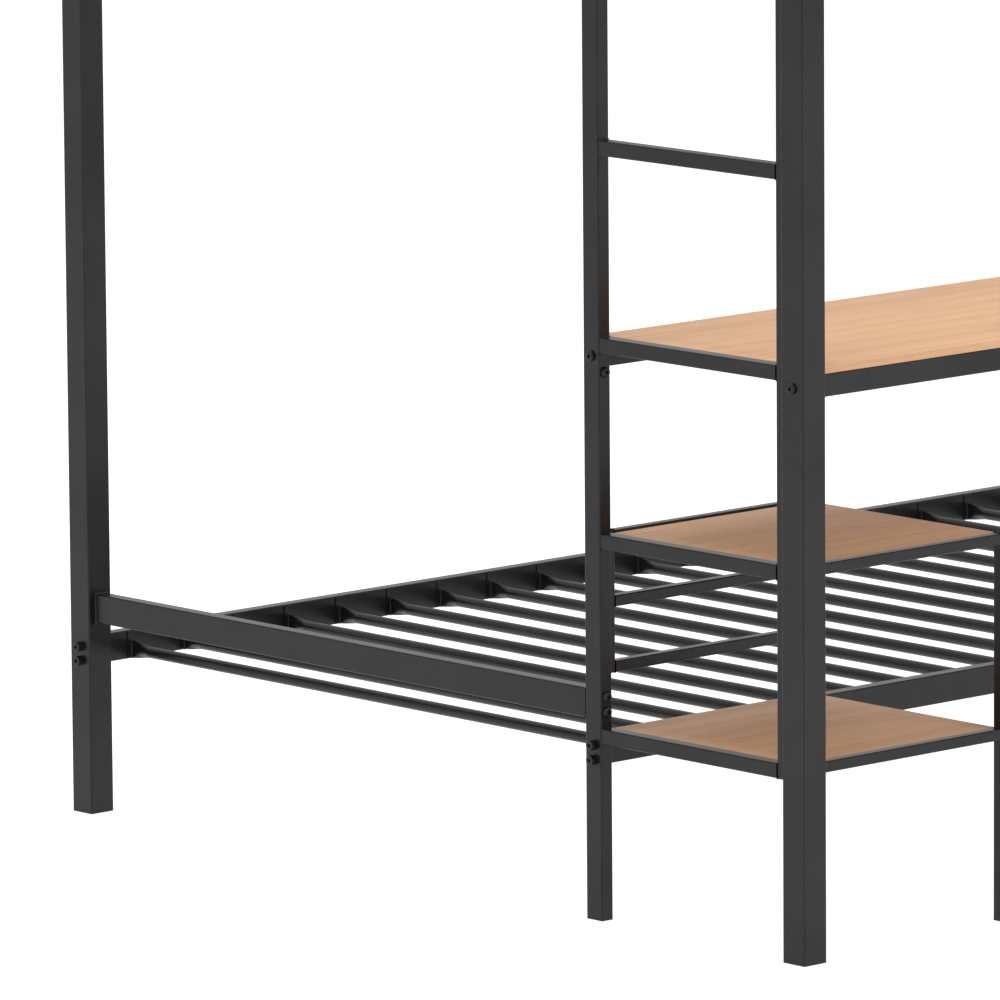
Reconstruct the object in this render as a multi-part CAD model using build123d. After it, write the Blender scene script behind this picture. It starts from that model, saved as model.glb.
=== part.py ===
from build123d import *
import os

# Full-over-twin steel bunk bed with an end ladder, a long desk and two corner shelves.
# Frame: origin on the floor under the middle of the bed, +X along the bed away from the
# ladder, -Y towards the desk side, +Z up. Places are worked out from two faces: the outer
# face of the ladder end (x_at) and the outer face of the desk side (y_at).

os.makedirs("parts", exist_ok=True)

# ---- overall sizes ---------------------------------------------------------------------------
bed_length = 1990.0          # outside the posts, along the bed
bed_width = 1451.0           # outside the posts, across the bed
bed_height = 1800.0          # floor to the top of the guard rails
lower_clear_width = 991.0    # between the rear post and the upright that carries the twin bed

# ---- tubes -----------------------------------------------------------------------------------
post_size = 40.0
upright_width = 30.0         # across the bed
upright_depth = 20.0         # along the bed
stile_size = 20.0
bar_size = 20.0              # ladder rungs, desk end bars and guard rails
shelf_tube = 15.0
tube_wall = 1.5
tube_corner = 2.0

# ---- levels of the ladder, the shelves and the desk ------------------------------------------
lowest_bar_bottom = 235.5
bar_pitch = 257.5
rung_count = 2               # free rungs above the desk bar

# ---- the two beds ----------------------------------------------------------------------------
side_rail_width = 20.0
side_rail_height = 40.0
lower_rail_top = 246.5
upper_rail_top = 1385.0
end_rail_width = 20.0
end_rail_height = 40.0
end_rail_lift = 60.5         # above the bottom of the side rails
end_plate_thickness = 3.0
end_plate_margin = 3.0       # a plate on a wide post stands out round the rail's end by this much
slat_count = 20
slat_diameter = 16.0
slat_wall = 1.2
slat_lift = 13.3             # slat centre above the bottom of the side rails
first_slat = 85.0            # from the end faces of the bed
blade_height = 24.5          # pressed flat end of a slat
blade_thickness = 3.0
blade_rounding = 1.45        # edge radius of the pressed end
blade_length = 6.0
flare_length = 32.0
slat_tab_width = 16.0
slat_tab_margin = 1.5        # tab short of the side rail's top and bottom
slat_tab_thickness = 1.5
beam_width = 20.0            # centre beam under the wide upper slats
beam_height = 30.0
hanger_width = 40.0
hanger_thickness = 4.0

# ---- guard rails of the upper bed ------------------------------------------------------------
guard_drop = 15.0            # top rail below the tops of the posts
guard_mid_rails = 2
guard_bays_long = 3
guard_bays_ladder_end = 2
guard_bays_far_end = 3

# ---- shelves and desk ------------------------------------------------------------------------
shelf_reach = 396.0          # ladder end face to the far face of the shelf leg
shelf_setback = 25.0         # desk side face to the face of the shelf's front rail
shelf_board_thickness = 12.0
shelf_board_recess = 1.0     # board top below the frame top
shelf_board_gap = 1.0        # between the board's back edge and the ladder's upright
shelf_board_overlap = 8.0    # how far the board's free edge rests on the side strip
ledge_thickness = 2.5
ledge_width = 20.0
panel_tube = 15.0
panel_setback = 10.0         # upright's face to the panel's face
panel_gap = 1.0              # between the upright and the panel
panel_bar_pitch = 86.5
panel_bars = 3
desk_rail_width = 20.0
desk_rail_height = 30.0
desk_board_thickness = 10.0
desk_cross_bars = 3
desk_screw_inset = 60.0      # from the ends of a cross bar

# ---- fasteners and plastic parts -------------------------------------------------------------
cap_bolt_shank = 8.0
cap_bolt_head = 13.0
cap_bolt_head_height = 8.0
cap_bolt_chamfer = 0.6
cap_bolt_low = 6.5           # lower bolt above the bottom of the side rail
cap_bolt_spacing = 19.5
button_bolt_shank = 6.0
button_head = 14.0
button_head_height = 4.5
button_rounding = 2.7
hex_key = 5.0
socket_depth = 2.5
bolt_clearance = 0.5         # hole in a post over the shank
hole_overrun = 1.0           # a hole starts this far outside the face
plug_length = 14.0           # threaded plug inside a rail's end
plug_clearance = 0.2
end_bolt_spacing = 20.0
upright_bolt_height = 724.5
screw_shank = 4.0
screw_head = 8.0
screw_head_height = 2.0
screw_bite = 8.0             # depth in a shelf board
desk_screw_bite = 6.0        # depth in the desk board
foot_plug_height = 12.0
cap_thickness = 2.0
cap_spigot = 10.0

# ---- places that follow from the sizes above -------------------------------------------------
def x_at(from_ladder_end):
    """X of a distance in from the outer face of the ladder end."""
    return from_ladder_end - bed_length / 2


def x_far(from_far_end):
    """X of a distance in from the outer face of the far end."""
    return bed_length / 2 - from_far_end


def y_at(from_desk_side):
    """Y of a distance in from the outer face of the desk side."""
    return from_desk_side - bed_width / 2


def y_rear(from_rear):
    """Y of a distance in from the outer face of the rear side."""
    return bed_width / 2 - from_rear


tube_top = bed_height - cap_thickness
upright_setback = (post_size - upright_depth) / 2
stile_setback = (post_size - stile_size) / 2
upright_rear = bed_width - post_size - lower_clear_width
upright_front = upright_rear - upright_width
upright_middle = upright_rear - upright_width / 2
stile_rear = post_size + stile_size
shelf_board_back = upright_front - shelf_board_gap
panel_front = upright_front + panel_setback
slat_tab_height = side_rail_height - 2 * slat_tab_margin
bar_setback = (post_size - bar_size) / 2
bar_inside = bar_setback + bar_size
rail_setback = (post_size - side_rail_width) / 2
end_rail_setback = (post_size - end_rail_width) / 2
desk_setback = (post_size - desk_rail_width) / 2

shelf_levels = [lowest_bar_bottom + bar_size, lowest_bar_bottom + bar_pitch + bar_size]
desk_top = lowest_bar_bottom + 2 * bar_pitch + bar_size
desk_rail_top = desk_top - desk_board_thickness
desk_rail_bottom = desk_rail_top - desk_rail_height
lower_rail_bottom = lower_rail_top - side_rail_height
upper_rail_bottom = upper_rail_top - side_rail_height
lower_end_rail = lower_rail_bottom + end_rail_lift
upper_end_rail = upper_rail_bottom + end_rail_lift
upper_end_rail_top = upper_end_rail + end_rail_height
guard_bottom = bed_height - guard_drop - bar_size


# ---- shapes ----------------------------------------------------------------------------------
def block(low, high):
    """Solid box between two corners."""
    size = [top - bottom for bottom, top in zip(low, high)]
    return Pos(*low) * Box(*size, align=(Align.MIN, Align.MIN, Align.MIN))


def tube(axis, low, high, wall=tube_wall):
    """Rectangular tube filling the box low..high, open at both ends along the axis."""
    size = dict(zip("xyz", [top - bottom for bottom, top in zip(low, high)]))
    middle = [(bottom + top) / 2 for bottom, top in zip(low, high)]
    first, second = {"x": "yz", "y": "zx", "z": "xy"}[axis]
    plane = {"x": Plane.YZ, "y": Plane.ZX, "z": Plane.XY}[axis]
    wide, tall = size[first], size[second]
    section = RectangleRounded(wide, tall, tube_corner)
    section -= RectangleRounded(wide - 2 * wall, tall - 2 * wall, tube_corner - wall)
    body = extrude(plane * section, amount=size[axis] / 2, both=True)
    return Pos(*middle) * body


def upright(x, y, z, wide, deep):
    """Vertical tube from its low corner x, y and its (bottom, top) z, wide along Y, deep along X."""
    return tube("z", (x, y, z[0]), (x + deep, y + wide, z[1]))


def rod(point, direction, diameter, length):
    """Cylinder that starts at a point and runs along a direction."""
    plane = Plane(origin=point, z_dir=direction)
    return plane * Cylinder(diameter / 2, length, align=(Align.CENTER, Align.CENTER, Align.MIN))


def group(*solids):
    """Separate solids that share one node."""
    return Compound(children=[solid for shape in solids for solid in shape.solids()])


def drilled(shape, holes):
    """Shape with the given holes cut out of it, where they meet it."""
    box = shape.bounding_box()
    for hole in holes:
        reach = hole.bounding_box()
        apart = any(
            getattr(box.min, a) >= getattr(reach.max, a) or getattr(box.max, a) <= getattr(reach.min, a)
            for a in "XYZ"
        )
        if not apart:
            shape = shape - hole
    return shape


nodes = {}


def keep(name, shape):
    """Remember a finished shape under its node name."""
    nodes[name] = shape


# ---- bolts: a place is (point on the outer face, direction inwards, grip, shank) -------------
def bolt(place, head_diameter, head_height, rounded):
    """Socket head bolt standing on a face, with its shank running into the joint."""
    point, direction, grip, shank = place
    head = Cylinder(head_diameter / 2, head_height, align=(Align.CENTER, Align.CENTER, Align.MAX))
    outer_rim = head.edges().group_by(Axis.Z)[0]
    head = fillet(outer_rim, button_rounding) if rounded else chamfer(outer_rim, cap_bolt_chamfer)
    socket = extrude(RegularPolygon(hex_key / 2, 6, major_radius=False), socket_depth)
    head -= Pos(0, 0, -head_height) * socket
    head += Cylinder(shank / 2, grip + plug_length, align=(Align.CENTER, Align.CENTER, Align.MIN))
    return Plane(origin=point, z_dir=direction) * head


def post_hole(place):
    """Clearance hole through the post that a bolt passes."""
    point, direction, grip, shank = place
    start = tuple(p - hole_overrun * d for p, d in zip(point, direction))
    return rod(start, direction, shank + bolt_clearance, grip + hole_overrun)


def thread(place):
    """Hole in the plug that a bolt screws into."""
    point, direction, grip, shank = place
    start = tuple(p + grip * d for p, d in zip(point, direction))
    return rod(start, direction, shank, plug_length)


def plug(axis, low, high, inward, holes):
    """Threaded plug in a rail's end. low and high are the rail's section at the end face."""
    wall = tube_wall + plug_clearance
    index = "xyz".index(axis)
    low, high = [value + wall for value in low], [value - wall for value in high]
    end = low[index] - wall
    low[index], high[index] = sorted((end, end + inward * plug_length))
    return drilled(block(low, high), holes)


cap_places, button_places = [], []
plugs = {"side": [], "end": [], "bar": []}


def rail_end(kind, axis, low, high, end, inward, places):
    """Register the plug and the bolts of one rail's end."""
    index = "xyz".index(axis)
    low, high = list(low), list(high)
    low[index] = high[index] = end
    plugs[kind].append(plug(axis, low, high, inward, [thread(place) for place in places]))
    (cap_places if kind == "side" else button_places).extend(places)


# ---- posts, uprights and the ladder ----------------------------------------------------------
post_height = (0, tube_top)
post_corner_x = {"ladder_end": x_at(0), "far_end": x_far(post_size)}
post_corner_y = {"front": y_at(0), "rear": y_rear(post_size)}
posts = {
    f"post_{side}_{end}": upright(x, y, post_height, post_size, post_size)
    for end, x in post_corner_x.items() for side, y in post_corner_y.items()
}
posts |= {
    "ladder_upright": upright(
        x_at(upright_setback), y_at(upright_front), post_height, upright_width, upright_depth
    ),
    "far_end_upright": upright(
        x_far(upright_setback + upright_depth), y_at(upright_front),
        (0, upper_end_rail), upright_width, upright_depth,
    ),
}
keep("ladder_stile", upright(
    x_at(stile_setback), y_at(post_size), (lowest_bar_bottom, tube_top), stile_size, stile_size
))


def cross_bar(bottom, x_low=x_at(bar_setback), front=stile_rear, rear=upright_front):
    """Bar across the bed, by default between the ladder's stile and its upright."""
    low = (x_low, y_at(front), bottom)
    return tube("y", low, (x_low + bar_size, y_at(rear), bottom + bar_size))


level_names = ["lower_shelf_end_bar", "upper_shelf_end_bar", "desk_end_bar"]
for level, name in enumerate(level_names):
    keep(name, cross_bar(lowest_bar_bottom + level * bar_pitch))
for rung in range(rung_count):
    level = len(level_names) + rung
    keep(f"ladder_rung_{rung + 1}", cross_bar(lowest_bar_bottom + level * bar_pitch))
keep("ladder_entry_rail", tube(
    "y", (x_at(end_rail_setback), y_at(stile_rear), upper_end_rail),
    (x_at(end_rail_setback + end_rail_width), y_at(upright_front), upper_end_rail_top),
))
far_bar_x = x_far(bar_inside)
keep("far_end_floor_bar", cross_bar(lowest_bar_bottom, far_bar_x, post_size))
keep("desk_far_bar", cross_bar(desk_top - bar_size, far_bar_x, post_size))


# ---- side rails ------------------------------------------------------------------------------
def side_rail(y_low, bottom, start, end, bolt_y, faces):
    """Side rail with a threaded plug and two cap bolts at each end."""
    low = (start, y_low, bottom)
    high = (end, y_low + side_rail_width, bottom + side_rail_height)
    heights = [bottom + cap_bolt_low, bottom + cap_bolt_low + cap_bolt_spacing]
    for rail_face, post_face, inward in ((start, faces[0], 1), (end, faces[1], -1)):
        grip = abs(rail_face - post_face)
        places = [((post_face, bolt_y, z), (inward, 0, 0), grip, cap_bolt_shank) for z in heights]
        rail_end("side", "x", low, high, rail_face, inward, places)
    return tube("x", low, high)


outer_faces = (x_at(0), x_far(0))
post_faces = (x_at(post_size), x_far(post_size))
upright_outer = (x_at(upright_setback), x_far(upright_setback))
upright_faces = (x_at(upright_setback + upright_depth), x_far(upright_setback + upright_depth))
rear_rail_y = y_rear(rail_setback + side_rail_width)
front_rail_y = y_at(rail_setback)
twin_rail_y = y_at(upright_middle - side_rail_width / 2)
keep("lower_side_rail_rear", side_rail(
    rear_rail_y, lower_rail_bottom, *post_faces, y_rear(post_size / 2), outer_faces
))
keep("lower_side_rail_front", side_rail(
    twin_rail_y, lower_rail_bottom, *upright_faces, y_at(upright_middle), upright_outer
))
keep("upper_side_rail_rear", side_rail(
    rear_rail_y, upper_rail_bottom, *post_faces, y_rear(post_size / 2), outer_faces
))
keep("upper_side_rail_front", side_rail(
    front_rail_y, upper_rail_bottom, *post_faces, y_at(post_size / 2), outer_faces
))


# ---- end rails -------------------------------------------------------------------------------
end_plates = []


def end_rail(x_low, bottom, front, rear, front_outer, front_margin=0.0):
    """End rail between y faces front and rear, with a plate, a plug and two bolts at each end."""
    start, end = front + end_plate_thickness, rear - end_plate_thickness
    low = (x_low, start, bottom)
    high = (x_low + end_rail_width, end, bottom + end_rail_height)
    middle = bottom + end_rail_height / 2
    heights = (middle - end_bolt_spacing / 2, middle + end_bolt_spacing / 2)
    x_middle = x_low + end_rail_width / 2
    ends = ((start, front, front_outer, 1, front_margin), (end, rear, y_rear(0), -1, end_plate_margin))
    for rail_face, post_face, outer_face, inward, margin in ends:
        grip = abs(rail_face - outer_face)
        places = [((x_middle, outer_face, z), (0, inward, 0), grip, button_bolt_shank) for z in heights]
        rail_end("end", "y", low, high, rail_face, inward, places)
        plate = block(
            (low[0] - margin, min(rail_face, post_face), bottom - margin),
            (high[0] + margin, max(rail_face, post_face), high[2] + margin),
        )
        end_plates.append(drilled(plate, [post_hole(place) for place in places]))
    return tube("y", low, high)


near_end_x = x_at(end_rail_setback)
far_end_x = x_far(end_rail_setback + end_rail_width)
rear_post_y = y_rear(post_size)
keep("lower_end_rail_ladder_end", end_rail(
    near_end_x, lower_end_rail, y_at(upright_rear), rear_post_y, y_at(upright_front)
))
keep("lower_end_rail_far_end", end_rail(
    far_end_x, lower_end_rail, y_at(upright_rear), rear_post_y, y_at(upright_front)
))
keep("upper_end_rail_ladder_end", end_rail(
    near_end_x, upper_end_rail, y_at(upright_rear), rear_post_y, y_at(upright_front)
))
keep("upper_end_rail_far_end", end_rail(
    far_end_x, upper_end_rail, y_at(post_size), rear_post_y, y_at(0), end_plate_margin
))
keep("end_rail_plates", group(*end_plates))


# ---- slats -----------------------------------------------------------------------------------
def slat(length):
    """Round slat along Y whose ends are pressed into upright blades."""
    tube_end = length / 2 - blade_length - flare_length
    blade_start = length / 2 - blade_length
    middle = extrude(
        Plane.XZ * (Circle(slat_diameter / 2) - Circle(slat_diameter / 2 - slat_wall)),
        amount=tube_end, both=True,
    )
    blade_section = RectangleRounded(blade_thickness, blade_height, blade_rounding)
    ends = []
    for side in (-1, 1):
        toward = Plane(origin=(0, 0, 0), x_dir=(1, 0, 0), z_dir=(0, side, 0))
        flare = loft([
            toward.offset(tube_end) * Circle(slat_diameter / 2),
            toward.offset(blade_start) * blade_section,
        ])
        ends.append(flare + extrude(toward.offset(blade_start) * blade_section, blade_length))
    return middle + ends[0] + ends[1]


def deck(front, rear, bottom):
    """Slats between two rail faces, and the tabs that carry their ends."""
    y_middle, z_middle = (front + rear) / 2, bottom + slat_lift
    one = slat(rear - front - 2 * slat_tab_thickness)
    pitch = (bed_length - 2 * first_slat) / (slat_count - 1)
    slats, tabs = [], []
    for index in range(slat_count):
        x = x_at(first_slat) + index * pitch
        slats.append(Pos(x, y_middle, z_middle) * one)
        for face, inward in ((front, 1), (rear, -1)):
            edge = sorted((face, face + inward * slat_tab_thickness))
            tab_bottom = bottom + (side_rail_height - slat_tab_height) / 2
            tabs.append(block(
                (x - slat_tab_width / 2, edge[0], tab_bottom),
                (x + slat_tab_width / 2, edge[1], tab_bottom + slat_tab_height),
            ))
    return group(*slats), group(*tabs)


lower_slats, lower_tabs = deck(twin_rail_y + side_rail_width, rear_rail_y, lower_rail_bottom)
upper_slats, upper_tabs = deck(front_rail_y + side_rail_width, rear_rail_y, upper_rail_bottom)
keep("lower_slats", lower_slats)
keep("upper_slats", upper_slats)
keep("slat_tabs", group(lower_tabs, upper_tabs))

beam_top = upper_rail_bottom + slat_lift - slat_diameter / 2
beam_start, beam_end = near_end_x + end_rail_width, far_end_x
beam_y = (y_at(post_size) + y_rear(post_size)) / 2
keep("upper_centre_beam", tube(
    "x", (beam_start + hanger_thickness, beam_y - beam_width / 2, beam_top - beam_height),
    (beam_end - hanger_thickness, beam_y + beam_width / 2, beam_top),
))
keep("centre_beam_hangers", group(*[
    block((x, beam_y - hanger_width / 2, beam_top - beam_height),
          (x + hanger_thickness, beam_y + hanger_width / 2, upper_end_rail_top))
    for x in (beam_start, beam_end - hanger_thickness)
]))


# ---- guard rails of the upper bed ------------------------------------------------------------
def guard(axis, cross_low, start, end, outer_faces_pair, foot, bays):
    """Guard along an axis: a bolted top rail over welded posts and middle rails."""
    def corner(along, across, z):
        return (along, across, z) if axis == "x" else (across, along, z)

    low = corner(start, cross_low, guard_bottom)
    high = corner(end, cross_low + bar_size, guard_bottom + bar_size)
    index = "xyz".index(axis)
    across_middle = cross_low + bar_size / 2
    for rail_face, outer_face, inward in zip((start, end), outer_faces_pair, (1, -1)):
        direction = corner(inward, 0, 0)
        point = corner(outer_face, across_middle, guard_bottom + bar_size / 2)
        place = (point, direction, abs(rail_face - outer_face), button_bolt_shank)
        rail_end("bar", "xyz"[index], low, high, rail_face, inward, [place])
    top_rail = tube(axis, low, high)

    pitch = (end - start + bar_size) / bays
    gap = (guard_bottom - foot - guard_mid_rails * bar_size) / (guard_mid_rails + 1)
    infill = []
    for bay in range(bays):
        bay_start = start + bay * pitch
        bay_end = bay_start + pitch - bar_size
        for rail in range(guard_mid_rails):
            z = foot + gap + rail * (gap + bar_size)
            infill.append(tube(axis, corner(bay_start, cross_low, z),
                               corner(bay_end, cross_low + bar_size, z + bar_size)))
        if bay < bays - 1:
            infill.append(tube("z", corner(bay_end, cross_low, foot),
                               corner(bay_end + bar_size, cross_low + bar_size, guard_bottom)))
    return top_rail, group(*infill)


guards = {
    "rear": ("x", y_rear(bar_inside), *post_faces, outer_faces, upper_rail_top, guard_bays_long),
    "front": ("x", y_at(bar_setback), *post_faces, outer_faces, upper_rail_top, guard_bays_long),
    "ladder_end": (
        "y", x_at(bar_setback), y_at(upright_rear), rear_post_y,
        (y_at(upright_front), y_rear(0)), upper_end_rail_top, guard_bays_ladder_end,
    ),
    "far_end": (
        "y", x_far(bar_inside), y_at(post_size), rear_post_y,
        (y_at(0), y_rear(0)), upper_end_rail_top, guard_bays_far_end,
    ),
}
for side, values in guards.items():
    top_rail, infill = guard(*values)
    keep(f"guard_top_rail_{side}", top_rail)
    keep(f"guard_infill_{side}", infill)


# ---- desk ------------------------------------------------------------------------------------
def desk_rail(y_low, start, end, bolt_y, faces):
    """Desk rail with a threaded plug and one button bolt at each end."""
    low = (start, y_low, desk_rail_bottom)
    high = (end, y_low + desk_rail_width, desk_rail_top)
    height = (desk_rail_bottom + desk_rail_top) / 2
    for rail_face, post_face, inward in ((start, faces[0], 1), (end, faces[1], -1)):
        grip = abs(rail_face - post_face)
        place = ((post_face, bolt_y, height), (inward, 0, 0), grip, button_bolt_shank)
        rail_end("bar", "x", low, high, rail_face, inward, [place])
    return tube("x", low, high)


desk_front_y = y_at(desk_setback)
desk_back_y = y_at(upright_middle - desk_rail_width / 2)
keep("desk_front_rail", desk_rail(desk_front_y, *post_faces, y_at(post_size / 2), outer_faces))
keep("desk_back_rail", desk_rail(desk_back_y, *upright_faces, y_at(upright_middle), upright_outer))

cross_length = bed_length - 2 * post_size
cross_centres = [
    x_at(post_size) + cross_length * (index + 1) / (desk_cross_bars + 1) for index in range(desk_cross_bars)
]
keep("desk_cross_bars", group(*[
    tube("y", (x - bar_size / 2, desk_front_y + desk_rail_width, desk_rail_top - bar_size),
         (x + bar_size / 2, desk_back_y, desk_rail_top))
    for x in cross_centres
]))
desk_board = block(
    (x_at(bar_inside), desk_front_y, desk_rail_top),
    (x_far(bar_inside), desk_back_y + desk_rail_width, desk_top),
)
for x in (x_at(0), x_far(post_size)):
    desk_board -= block((x, y_at(0), desk_rail_top), (x + post_size, y_at(post_size), desk_top))


# ---- shelves ---------------------------------------------------------------------------------
leg_x = x_at(shelf_reach - shelf_tube)
leg_y = y_at(shelf_setback)
shelf_names = ("lower_shelf", "upper_shelf")
strip_rear = (twin_rail_y, y_at(panel_front))
keep("shelf_leg", upright(leg_x, leg_y, (0, shelf_levels[1]), shelf_tube, shelf_tube))
side_strips, ledges, shelf_boards = [], [], []
for name, top, rear in zip(shelf_names, shelf_levels, strip_rear):
    bottom = top - shelf_tube
    keep(f"{name}_front_rail", tube(
        "x", (x_at(post_size), leg_y, bottom), (leg_x, leg_y + shelf_tube, top)
    ))
    board_top = top - shelf_board_recess
    board_bottom = board_top - shelf_board_thickness
    ledge_bottom = board_bottom - ledge_thickness
    inner_front = leg_y + shelf_tube
    end_bar_face = x_at(bar_inside)
    side_strips.append(block(
        (leg_x, inner_front, ledge_bottom), (x_at(shelf_reach), rear, board_bottom)
    ))
    ledges.append(block(
        (end_bar_face, y_at(stile_rear), ledge_bottom),
        (end_bar_face + ledge_width, rear - ledge_width, board_bottom),
    ))
    ledges.append(block(
        (end_bar_face + ledge_width, inner_front, ledge_bottom),
        (leg_x, inner_front + ledge_width, board_bottom),
    ))
    ledges.append(block(
        (end_bar_face + ledge_width, y_at(shelf_board_back) - ledge_width, ledge_bottom),
        (leg_x, rear, board_bottom),
    ))
    board = block(
        (end_bar_face, inner_front, board_bottom),
        (leg_x + shelf_board_overlap, y_at(shelf_board_back), board_top),
    )
    post_notch = block((x_at(0), y_at(0), board_bottom), (x_at(post_size), y_at(post_size), board_top))
    shelf_boards.append(board - post_notch)
keep("shelf_side_strips", group(*side_strips))
keep("shelf_ledges", group(*ledges))

panel_y = y_at(panel_front)
panel_x = x_at(upright_setback + upright_depth + panel_gap)
panel_bottom = shelf_levels[1] - panel_tube - (panel_bars - 1) * panel_bar_pitch
keep("shelf_panel_near_upright", upright(
    panel_x, panel_y, (panel_bottom, shelf_levels[1]), panel_tube, panel_tube
))
keep("shelf_panel_far_upright", upright(
    x_at(shelf_reach - panel_tube), panel_y, (lower_rail_top, shelf_levels[1]), panel_tube, panel_tube
))
keep("shelf_panel_bars", group(*[
    tube("x", (panel_x + panel_tube, panel_y, panel_bottom + index * panel_bar_pitch),
         (x_at(shelf_reach - panel_tube), panel_y + panel_tube,
          panel_bottom + index * panel_bar_pitch + panel_tube))
    for index in range(panel_bars)
]))


# ---- screws under the boards -----------------------------------------------------------------
def screw(point):
    """Pan head screw pointing up, its head under the given point."""
    shank = rod(point, (0, 0, 1), screw_shank, ledge_thickness + screw_bite)
    return shank + rod(point, (0, 0, -1), screw_head, screw_head_height)


def screw_hole(point):
    """Hole for one screw through a ledge and into the board."""
    return rod(point, (0, 0, 1), screw_shank, ledge_thickness + screw_bite)


screw_points = []
for top, rear in zip(shelf_levels, strip_rear):
    z = top - shelf_board_recess - shelf_board_thickness - ledge_thickness
    x_middle = (x_at(bar_inside + ledge_width) + leg_x) / 2
    y_middle = (y_at(stile_rear) + rear) / 2
    screw_points += [
        (x_at(bar_inside) + ledge_width / 2, y_middle, z),
        (leg_x + shelf_board_overlap / 2, y_middle, z),
        (x_middle, leg_y + shelf_tube + ledge_width / 2, z),
        (x_middle, y_at(shelf_board_back) - ledge_width / 2, z),
    ]
shelf_holes = [screw_hole(point) for point in screw_points]
desk_screw_ys = (desk_front_y + desk_rail_width + desk_screw_inset, desk_back_y - desk_screw_inset)
desk_screw_length = bar_size + desk_screw_bite
desk_screws, desk_holes = [], []
for x in cross_centres:
    for y in desk_screw_ys:
        start = (x, y, desk_rail_top - bar_size)
        hole = rod(start, (0, 0, 1), screw_shank, desk_screw_length)
        desk_holes.append(hole)
        desk_screws.append(hole + rod(start, (0, 0, -1), screw_head, screw_head_height))
keep("board_screws", group(*[screw(point) for point in screw_points], *desk_screws))
for name, board in zip(shelf_names, shelf_boards):
    keep(f"{name}_board", drilled(board, shelf_holes))
keep("desk_board", drilled(desk_board, desk_holes))
for name, holes in (
    ("shelf_side_strips", shelf_holes), ("shelf_ledges", shelf_holes), ("desk_cross_bars", desk_holes)
):
    keep(name, group(*[drilled(solid, holes) for solid in nodes[name].solids()]))


# ---- bolts, plugs, feet and caps -------------------------------------------------------------
lock_place = (
    (x_at(upright_setback + upright_depth / 2), y_at(upright_front), upright_bolt_height),
    (0, 1, 0), tube_wall, button_bolt_shank,
)
button_places.append(lock_place)
post_holes = [post_hole(place) for place in cap_places + button_places]
for name, post in posts.items():
    keep(name, drilled(post, post_holes))

keep("side_rail_bolts", group(*[
    bolt(place, cap_bolt_head, cap_bolt_head_height, rounded=False) for place in cap_places
]))
keep("button_bolts", group(*[
    bolt(place, button_head, button_head_height, rounded=True) for place in button_places
]))
keep("side_rail_plugs", group(*plugs["side"]))
keep("end_rail_plugs", group(*plugs["end"]))
keep("desk_and_guard_plugs", group(*plugs["bar"]))


def tube_plug(x, y, z, wide, deep, height):
    """Plastic plug filling a vertical tube from z over a height."""
    wall = tube_wall + plug_clearance
    return block((x + wall, y + wall, z), (x + deep - wall, y + wide - wall, z + height))


full_height_tubes = [
    *((x, y, post_size, post_size) for x in post_corner_x.values() for y in post_corner_y.values()),
    (x_at(upright_setback), y_at(upright_front), upright_width, upright_depth),
]
floor_tubes = full_height_tubes + [
    (x_far(upright_setback + upright_depth), y_at(upright_front), upright_width, upright_depth),
    (leg_x, leg_y, shelf_tube, shelf_tube),
]
topped_tubes = full_height_tubes + [(x_at(stile_setback), y_at(post_size), stile_size, stile_size)]
keep("foot_plugs", group(*[
    tube_plug(x, y, 0, wide, deep, foot_plug_height) for x, y, wide, deep in floor_tubes
]))
keep("top_caps", group(*[
    block((x, y, tube_top), (x + deep, y + wide, bed_height))
    + tube_plug(x, y, tube_top - cap_spigot, wide, deep, cap_spigot)
    for x, y, wide, deep in topped_tubes
]))

for name, shape in nodes.items():
    export_step(shape, f"parts/{name}.step")
print(len(nodes), "nodes")
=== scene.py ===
"""Looks of a steel full-over-twin bunk bed with an end ladder, a desk and two corner shelves.

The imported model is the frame, in metres, with +X along the bed away from the ladder, -Y
towards the desk side and +Z up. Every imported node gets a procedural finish. The weld beads,
tube caps, foot plugs and eased board edges are modelled here and ride on the same body.
"""

from __future__ import annotations

import logging
import math
from dataclasses import dataclass, field
from enum import Enum
from typing import Callable, Iterable, Sequence, Union

import bmesh
import bpy
from mathutils import Matrix, Vector

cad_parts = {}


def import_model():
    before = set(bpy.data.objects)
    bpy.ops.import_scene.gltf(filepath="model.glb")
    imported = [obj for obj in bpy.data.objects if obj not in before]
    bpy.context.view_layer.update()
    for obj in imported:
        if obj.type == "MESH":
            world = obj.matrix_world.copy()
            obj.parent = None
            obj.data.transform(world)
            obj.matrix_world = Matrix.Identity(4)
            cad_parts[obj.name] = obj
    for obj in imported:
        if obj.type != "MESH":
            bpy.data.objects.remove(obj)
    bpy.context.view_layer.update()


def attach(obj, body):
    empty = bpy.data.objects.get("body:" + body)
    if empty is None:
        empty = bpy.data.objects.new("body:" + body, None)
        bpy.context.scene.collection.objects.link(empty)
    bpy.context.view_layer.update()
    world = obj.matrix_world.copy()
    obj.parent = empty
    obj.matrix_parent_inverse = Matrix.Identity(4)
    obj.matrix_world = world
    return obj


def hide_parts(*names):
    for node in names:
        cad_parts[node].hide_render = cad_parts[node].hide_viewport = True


log = logging.getLogger("bunk_bed")

MM = 0.001
ROOT = "root"
WELD_SMOOTHING = math.radians(50)
EDGE_SMOOTHING = math.radians(40)

Colour = tuple[float, float, float]
Box = tuple[Vector, Vector]
Number = Union[float, "Signal"]


class Axis(Enum):
    """Direction that a tube runs in."""

    X = 0
    Y = 1
    Z = 2


class End(Enum):
    """Which ends of a tube are welded."""

    HIGH = (-1,)
    BOTH = (1, -1)


class Slot(Enum):
    """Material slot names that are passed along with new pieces."""

    FRAME = "frame"
    DESK_BOARD = "desk_board"
    SHELF_BOARD = "shelf_board"
    CAP = "plastic_cap"


# ---- shader maths ------------------------------------------------------------------------------


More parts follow.
